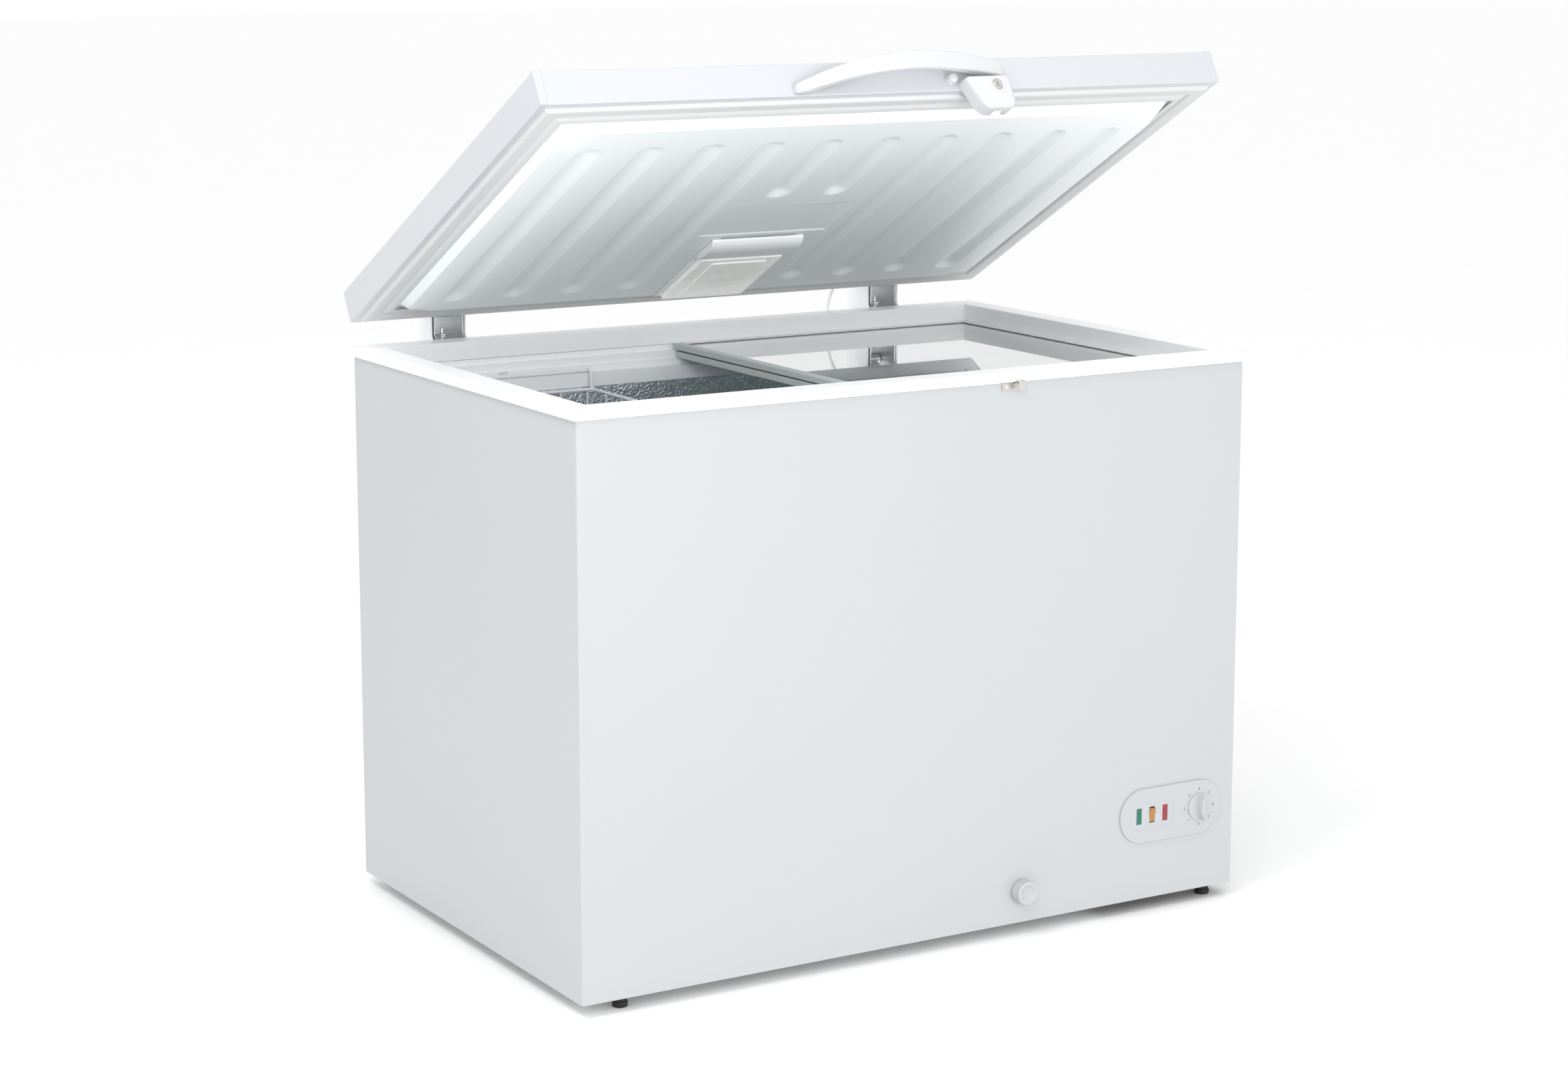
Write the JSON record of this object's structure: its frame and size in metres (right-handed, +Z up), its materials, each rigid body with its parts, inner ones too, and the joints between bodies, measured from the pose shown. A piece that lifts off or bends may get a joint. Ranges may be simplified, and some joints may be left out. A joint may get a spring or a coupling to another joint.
{
  "type": "chest freezer",
  "caption": "Chest freezer with a propped-open hinged lid, sliding glass inner lids, a hanging wire basket, control panel, drain and keyed lid lock.",
  "frame": {"origin": "on the floor, under the middle of the freezer's box with the lid at its stored opening", "axes": "+Z up, +X to the right, -Y out of the front"},
  "size_m": [1.142, 0.836, 1.3093],
  "materials": {
    "white_steel": "satin baked enamel",
    "white_plastic": "semi-gloss",
    "lid_panel_plastic": "satin",
    "seal_rubber": "matte",
    "foam": "matte",
    "stucco_aluminium": "stucco embossed",
    "zinc_steel": "zinc plated",
    "nickel": "satin nickel",
    "copper": "drawn copper",
    "black_metal": "satin",
    "black_plastic": "matte",
    "foot_rubber": "matte",
    "coated_wire": "white dip coating",
    "clear_glass": "polished",
    "glass_trim": "satin",
    "clear_plastic": "glossy",
    "green_lens": "glossy",
    "amber_rocker": "glossy",
    "red_lens": "glossy"
  },
  "bodies": {
    "cabinet": {"outer_shell": "white_steel", "base_panel": "zinc_steel", "compressor_base": "black_metal", "foam_tub": "foam", "evaporator_coil": "copper", "inner_liner": "stucco_aluminium", "top_rim": "white_plastic", "slide_rail_frame": "white_plastic", "rail_clip": "clear_plastic", "drain_tube": "white_plastic", "foot_left_front": "foot_rubber", "foot_right_front": "foot_rubber", "foot_left_rear": "foot_rubber", "foot_right_rear": "foot_rubber", "lock_catch": "nickel", "catch_screw": "zinc_steel", "control_panel": "white_plastic", "power_lens": "green_lens", "alarm_lens": "red_lens", "switch_block": "black_plastic", "thermostat_body": "zinc_steel", "compressor": "black_metal", "start_relay": "black_plastic", "motor_grommet_1": "foot_rubber", "motor_grommet_2": "foot_rubber", "motor_grommet_3": "foot_rubber", "motor_grommet_4": "foot_rubber", "filter_drier": "copper", "discharge_pipe": "copper", "rear_grille": "white_steel", "cord_gland": "black_plastic", "hinge_bracket_left": "zinc_steel", "hinge_pin_left": "zinc_steel", "hinge_cover_left": "white_plastic", "hinge_bracket_right": "zinc_steel", "hinge_pin_right": "zinc_steel", "hinge_cover_right": "white_plastic", "lamp_lead": "white_plastic"},
    "lid": {"lid_skin": "white_steel", "lid_foam": "foam", "lid_inner_panel": "lid_panel_plastic", "lid_gasket": "seal_rubber", "lamp_base": "white_plastic", "lamp_bulb": "clear_glass", "lamp_lens": "clear_plastic", "lid_handle": "white_plastic", "lock_housing": "white_plastic", "hinge_leaf_left": "zinc_steel", "hinge_leaf_right": "zinc_steel"},
    "lock": {"lock_cylinder": "nickel", "lock_cam": "zinc_steel"},
    "upper_glass_lid": {"upper_glass": "clear_glass", "upper_glass_trim": "glass_trim"},
    "lower_glass_lid": {"lower_glass": "clear_glass", "lower_glass_trim": "glass_trim"},
    "basket": {"basket": "coated_wire"},
    "thermostat_knob": {"thermostat_knob": "white_plastic"},
    "fast_freeze_rocker": {"fast_freeze_rocker": "amber_rocker"},
    "drain_cap": {"drain_cap": "white_plastic"}
  },
  "joints": [
    {"name": "lid_hinge", "type": "hinge", "parent": "cabinet", "child": "lid", "pos_m": [0, 0.4015, 0.885], "axis": [-1, 0, 0], "range_deg": [-29, 51], "deforming": ["lamp_lead"]},
    {"name": "lock_turn", "type": "hinge", "parent": "lid", "child": "lock", "pos_m": [0.148, -0.33081, 1.2532], "axis": [0, -0.8746, 0.4848], "range_deg": [0, 90]},
    {"name": "upper_glass_slide", "type": "slide", "parent": "cabinet", "child": "upper_glass_lid", "axis": [1, 0, 0], "range_m": [-0.501, 0]},
    {"name": "lower_glass_slide", "type": "slide", "parent": "cabinet", "child": "lower_glass_lid", "axis": [1, 0, 0], "range_m": [-0.501, 0]},
    {"name": "basket_slide", "type": "slide", "parent": "cabinet", "child": "basket", "axis": [1, 0, 0], "range_m": [0, 0.69]},
    {"name": "thermostat_turn", "type": "hinge", "parent": "cabinet", "child": "thermostat_knob", "pos_m": [0.497, -0.4025, 0.151], "axis": [0, 1, 0], "range_deg": [-180, 125]},
    {"name": "rocker_tilt", "type": "hinge", "parent": "cabinet", "child": "fast_freeze_rocker", "pos_m": [0.408, -0.3975, 0.151], "axis": [1, 0, 0], "range_deg": [-16, 0]},
    {"name": "drain_cap_off", "type": "slide", "parent": "cabinet", "child": "drain_cap", "axis": [0, -1, 0], "range_m": [0, 0.04]}
  ]
}
